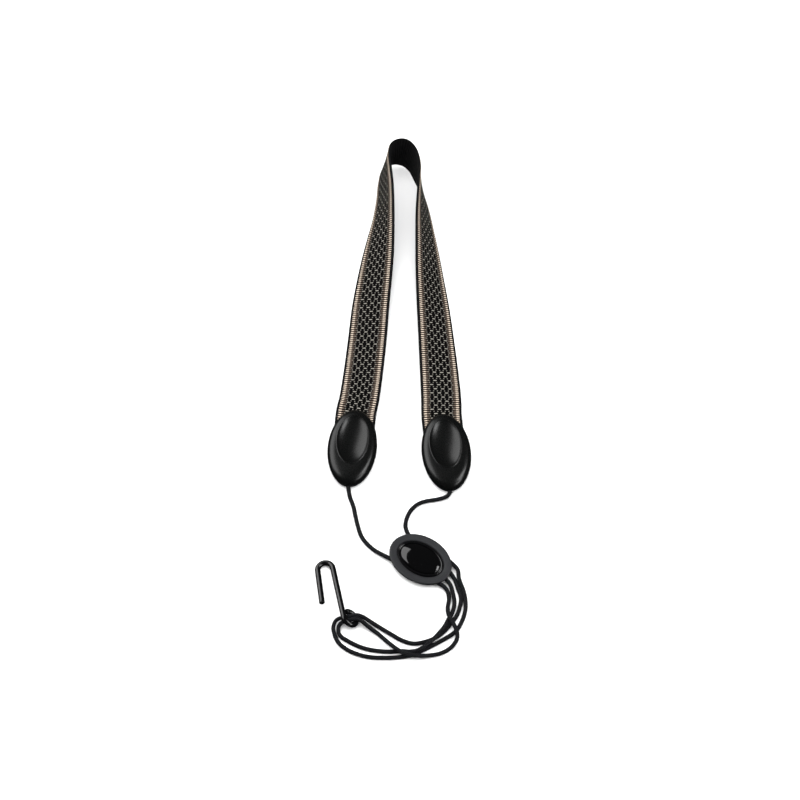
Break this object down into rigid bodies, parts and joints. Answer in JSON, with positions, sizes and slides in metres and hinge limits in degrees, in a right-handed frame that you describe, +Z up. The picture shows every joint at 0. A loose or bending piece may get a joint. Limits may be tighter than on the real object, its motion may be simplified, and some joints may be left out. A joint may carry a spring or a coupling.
{
  "type": "saxophone neck strap",
  "caption": "Webbing neck strap with oval end grips, a round cord, an oval cord slider and a coated wire hook for carrying a saxophone.",
  "frame": {"origin": "under the middle of the strap's bounding box, on the surface that it lies on", "axes": "+Y along the strap towards the back of the neck, +Z up, +X to the right"},
  "size_m": [0.1442, 0.5327, 0.0428],
  "materials": {
    "webbing": "heavy ribbed black webbing",
    "ribbon": "jacquard ribbon, black middle with a dashed lattice and tan edges",
    "satin_black": "satin moulded plastic with a fine grain",
    "gloss_black": "polished black",
    "coated_wire": "glossy black plastic coat on steel wire",
    "steel": "plain steel",
    "cord": "braided black nylon cord"
  },
  "bodies": {
    "root": {"strap_webbing": "webbing", "strap_ribbon": "ribbon", "left_grip_top": "satin_black", "left_grip_back": "satin_black", "left_clamp_bar": "steel", "left_grip_screws": "steel", "left_cord_knot": "cord", "right_grip_top": "satin_black", "right_grip_back": "satin_black", "right_clamp_bar": "steel", "right_grip_screws": "steel", "right_cord_knot": "cord", "left_cord_run": "cord", "right_cord_run": "cord"},
    "slider": {"slider_cover": "satin_black", "slider_base": "satin_black", "slider_ring": "gloss_black", "slider_badge": "gloss_black", "slider_pin": "steel", "slider_screws": "steel", "left_cord_pass": "cord", "right_cord_pass": "cord", "slider_bight": "cord", "strand_outer": "cord", "strand_upper": "cord", "strand_inner": "cord", "strand_lower": "cord"},
    "hook_loops": {"hook_bights": "cord"},
    "hook": {"hook": "coated_wire"}
  },
  "joints": [
    {"name": "slider_travel", "type": "slide", "parent": "root", "child": "slider", "axis": [-0.8329, 0.5534, 0], "range_m": [-0.012, 0.02], "deforming": ["left_cord_run", "right_cord_run"]},
    {"name": "cord_take_up", "type": "slide", "parent": "slider", "child": "hook_loops", "axis": [-0.9439, -0.3303, 0], "range_m": [-0.008, 0.012], "deforming": ["strand_outer", "strand_upper", "strand_inner", "strand_lower"]},
    {"name": "hook_swing", "type": "hinge", "parent": "hook_loops", "child": "hook", "pos_m": [-0.03967, -0.2425, 0.00773], "axis": [0.5818, 0.2292, 0.7803], "range_deg": [0, 100], "deforming": ["hook_bights"]}
  ],
  "couplings": [
    {"joint": "cord_take_up", "follows": "slider_travel", "ratio": 0.5}
  ]
}
